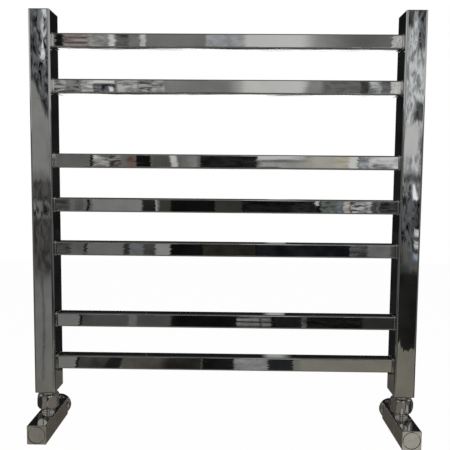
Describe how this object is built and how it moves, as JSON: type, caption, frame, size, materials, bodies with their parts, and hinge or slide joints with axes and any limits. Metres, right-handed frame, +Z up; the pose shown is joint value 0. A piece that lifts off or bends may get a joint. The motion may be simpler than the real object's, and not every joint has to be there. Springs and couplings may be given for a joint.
{
  "type": "towel warmer rack",
  "caption": "Wall-hung towel warmer rack: square chrome rails between upright collector tubes, with square union valves below and telescopic wall brackets behind.",
  "frame": {"origin": "centre of the rectangle of wall fixing holes, on the wall plane behind the rack", "axes": "+X to the right along the rails seen from the front, +Y from the rack into the wall, +Z up along the collector tubes"},
  "size_m": [0.5566, 0.1341, 0.6088],
  "materials": {
    "chrome_tube": "mirror-polished chrome plate on steel tube",
    "chrome_fitting": "polished chrome plate on brass",
    "brass": "turned brass",
    "rubber": "moulded black rubber",
    "steel_screw": "dark steel screw"
  },
  "bodies": {
    "wall_fixings": {"upper_left_cup": "chrome_fitting", "upper_right_cup": "chrome_fitting", "lower_left_cup": "chrome_fitting", "lower_right_cup": "chrome_fitting", "set_screws": "steel_screw"},
    "rail_frame": {"left_column": "chrome_tube", "right_column": "chrome_tube", "rail_1": "chrome_tube", "rail_2": "chrome_tube", "rail_3": "chrome_tube", "rail_4": "chrome_tube", "rail_5": "chrome_tube", "rail_6": "chrome_tube", "rail_7": "chrome_tube", "left_top_plate": "chrome_tube", "right_top_plate": "chrome_tube", "left_inlet_block": "chrome_tube", "right_inlet_block": "chrome_tube", "vent_port": "chrome_fitting", "vent_plug": "chrome_fitting", "blank_port": "chrome_fitting", "blanking_plug": "chrome_fitting", "port_gaskets": "rubber", "upper_left_post": "chrome_fitting", "upper_right_post": "chrome_fitting", "lower_left_post": "chrome_fitting", "lower_right_post": "chrome_fitting", "left_tail": "chrome_fitting", "left_tail_washer": "rubber", "left_union_nut": "chrome_fitting", "left_valve_body": "chrome_fitting", "left_olive": "brass", "left_inlet_nut": "chrome_fitting", "left_bonnet": "brass", "right_tail": "chrome_fitting", "right_tail_washer": "rubber", "right_union_nut": "chrome_fitting", "right_valve_body": "chrome_fitting", "right_olive": "brass", "right_inlet_nut": "chrome_fitting", "right_bonnet": "brass"},
    "left_knob": {"left_knob": "chrome_fitting", "left_knob_disc": "chrome_fitting", "left_knob_screw": "steel_screw", "left_spindle": "brass", "left_spindle_seals": "rubber"},
    "left_clack": {"left_clack": "brass", "left_clack_washer": "rubber"},
    "right_cap": {"right_cap": "chrome_fitting", "right_cap_disc": "chrome_fitting"},
    "right_spindle": {"right_spindle": "brass", "right_spindle_seals": "rubber"},
    "right_clack": {"right_clack": "brass", "right_clack_washer": "rubber"},
    "bleed_screw": {"bleed_screw": "brass"}
  },
  "joints": [
    {"name": "wall_distance", "type": "slide", "parent": "wall_fixings", "child": "rail_frame", "axis": [0, -1, 0], "range_m": [0, 0.015]},
    {"name": "knob_turn", "type": "hinge", "parent": "rail_frame", "child": "left_knob", "pos_m": [-0.2615, -0.08, -0.31725], "axis": [0, -1, 0], "range_deg": [0, 720]},
    {"name": "left_clack_lift", "type": "slide", "parent": "rail_frame", "child": "left_clack", "axis": [0, -1, 0], "range_m": [0, 0.004]},
    {"name": "right_cap_pull", "type": "slide", "parent": "rail_frame", "child": "right_cap", "axis": [0, -1, 0], "range_m": [0, 0.03]},
    {"name": "lockshield_turn", "type": "hinge", "parent": "rail_frame", "child": "right_spindle", "pos_m": [0.2615, -0.08, -0.31725], "axis": [0, -1, 0], "range_deg": [0, 720]},
    {"name": "right_clack_lift", "type": "slide", "parent": "rail_frame", "child": "right_clack", "axis": [0, -1, 0], "range_m": [0, 0.004]},
    {"name": "bleed_screw_turn", "type": "hinge", "parent": "rail_frame", "child": "bleed_screw", "pos_m": [-0.26, -0.055, 0.249], "axis": [0, 1, 0], "range_deg": [0, 360]}
  ],
  "couplings": [
    {"joint": "knob_turn", "follows": "left_clack_lift", "rad_per_m": 3141.6},
    {"joint": "lockshield_turn", "follows": "right_clack_lift", "rad_per_m": 3141.6}
  ]
}
